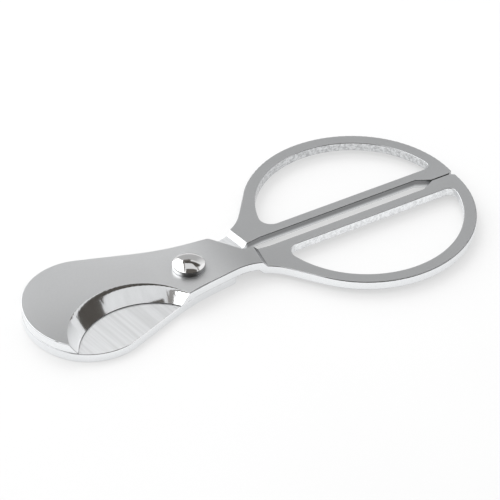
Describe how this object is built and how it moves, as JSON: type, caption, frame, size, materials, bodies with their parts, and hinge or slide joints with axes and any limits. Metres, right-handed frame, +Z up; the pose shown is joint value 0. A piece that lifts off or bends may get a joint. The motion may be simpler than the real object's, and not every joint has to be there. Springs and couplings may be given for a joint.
{
  "type": "cigar scissors",
  "caption": "Flat stainless steel scissors with wide curved hollow-ground blades, a domed pivot and D-shaped finger loops.",
  "frame": {"origin": "under the middle of the closed tool, on the flat that the lower blade rests on", "axes": "+X from the blades to the finger loops, +Y towards the lower lever's loop, +Z up out of the upper blade"},
  "size_m": [0.1516, 0.0762, 0.0091],
  "materials": {
    "blade_steel": "fine satin faces, polished grind",
    "mirror_steel": "mirror polished",
    "screw_steel": "turned"
  },
  "bodies": {
    "lower_body": {"lower_lever": "blade_steel", "pivot_post": "mirror_steel", "pivot_screw": "screw_steel"},
    "upper_body": {"upper_lever": "blade_steel"}
  },
  "joints": [
    {"name": "blade_pivot", "type": "hinge", "parent": "lower_body", "child": "upper_body", "pos_m": [-0.02155, -0.00075, 0.00303], "axis": [0, 0, -1], "range_deg": [0, 60]}
  ]
}
